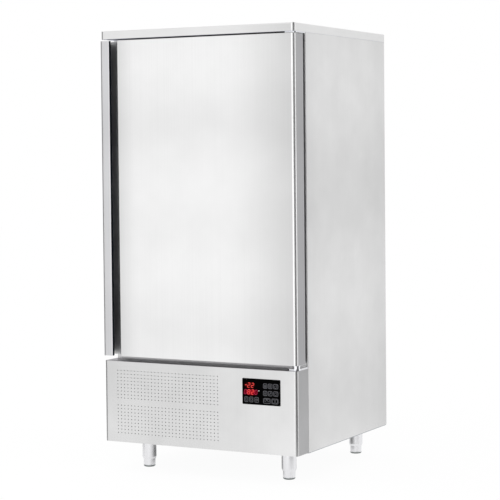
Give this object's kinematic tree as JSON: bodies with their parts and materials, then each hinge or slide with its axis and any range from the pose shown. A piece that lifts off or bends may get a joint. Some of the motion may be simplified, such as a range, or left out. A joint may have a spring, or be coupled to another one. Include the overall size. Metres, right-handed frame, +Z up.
{
  "type": "blast chiller",
  "caption": "Upright stainless blast chiller with one solid door, tray runners in the cavity, and a machine compartment with touch control on adjustable feet.",
  "frame": {"origin": "on the floor, under the middle of the cabinet", "axes": "+Z up, the door faces -Y, +X is to the right of someone who looks at the door"},
  "size_m": [0.799, 0.794, 1.62],
  "materials": {
    "stainless": "satin, vertical grain",
    "galvanised": "galvanised sheet",
    "bright_steel": "polished",
    "foam": "rigid foam",
    "white_plastic": "matt",
    "dark_plastic": "matt",
    "gasket_rubber": "soft, matt",
    "black_rubber": "matt",
    "black_glass": "gloss, printed black from behind",
    "circuit_board": "satin",
    "black_paint": "satin",
    "grey_paint": "satin",
    "fin_aluminium": "bright",
    "copper": "bright copper",
    "drain_plastic": "matt",
    "nylon": "natural nylon"
  },
  "bodies": {
    "cabinet": {"top_cover": "stainless", "side_panel_left": "stainless", "side_panel_right": "stainless", "back_panel": "galvanised", "rear_grille": "galvanised", "front_panel": "stainless", "base_pan": "galvanised", "corner_posts": "galvanised", "cabinet_floor": "galvanised", "cabinet_foam": "foam", "front_frame": "stainless", "thermal_break": "white_plastic", "cabinet_liner": "stainless", "rack_posts": "stainless", "runners_left": "stainless", "runners_right": "stainless", "fan_panel": "stainless", "fan_guards": "bright_steel", "fan_motors": "black_paint", "evaporator_fins": "fin_aluminium", "evaporator_bends": "copper", "evaporator_plates": "galvanised", "drip_tray": "stainless", "drain_tube": "drain_plastic", "probe_holder": "white_plastic", "core_probe": "dark_plastic", "hinge_plate_top": "bright_steel", "hinge_plate_bottom": "bright_steel", "hinge_screws": "bright_steel", "touch_glass": "black_glass", "control_board": "circuit_board", "foot_sleeves": "stainless", "compressor": "black_paint", "compressor_mounts": "black_rubber", "condenser_fins": "fin_aluminium", "condenser_bends": "copper", "condenser_plates": "galvanised", "condenser_shroud": "galvanised", "condenser_motor": "black_paint", "receiver": "black_paint", "filter_drier": "copper", "discharge_pipe": "copper", "condenser_outlet_pipe": "copper", "liquid_pipe": "copper", "suction_pipe": "copper", "condensate_tray": "white_plastic", "electrical_box": "grey_paint", "cable_gland": "dark_plastic"},
    "door": {"door_skin": "stainless", "door_foam": "foam", "door_liner": "stainless", "door_gasket": "gasket_rubber", "hinge_bushes": "nylon"},
    "upper_fan": {"fan_wheel_upper": "dark_plastic"},
    "lower_fan": {"fan_wheel_lower": "dark_plastic"},
    "condenser_fan": {"condenser_wheel": "fin_aluminium"},
    "front_left_foot": {"foot_tip_front_left": "stainless"},
    "front_right_foot": {"foot_tip_front_right": "stainless"},
    "rear_left_foot": {"foot_tip_rear_left": "stainless"},
    "rear_right_foot": {"foot_tip_rear_right": "stainless"}
  },
  "joints": [
    {"name": "door_hinge", "type": "hinge", "parent": "cabinet", "child": "door", "pos_m": [0.38, -0.358, 1], "axis": [0, 0, 1], "range_deg": [0, 110]},
    {"name": "upper_fan_spin", "type": "hinge", "parent": "cabinet", "child": "upper_fan", "pos_m": [0, 0.183, 1.264], "axis": [0, -1, 0], "continuous": true},
    {"name": "lower_fan_spin", "type": "hinge", "parent": "cabinet", "child": "lower_fan", "pos_m": [0, 0.183, 0.74], "axis": [0, -1, 0], "continuous": true},
    {"name": "condenser_fan_spin", "type": "hinge", "parent": "cabinet", "child": "condenser_fan", "pos_m": [-0.127, -0.265, 0.2718], "axis": [0, -1, 0], "continuous": true},
    {"name": "front_left_foot_height", "type": "slide", "parent": "cabinet", "child": "front_left_foot", "axis": [0, 0, -1], "range_m": [0, 0.025]},
    {"name": "front_right_foot_height", "type": "slide", "parent": "cabinet", "child": "front_right_foot", "axis": [0, 0, -1], "range_m": [0, 0.025]},
    {"name": "rear_left_foot_height", "type": "slide", "parent": "cabinet", "child": "rear_left_foot", "axis": [0, 0, -1], "range_m": [0, 0.025]},
    {"name": "rear_right_foot_height", "type": "slide", "parent": "cabinet", "child": "rear_right_foot", "axis": [0, 0, -1], "range_m": [0, 0.025]}
  ]
}
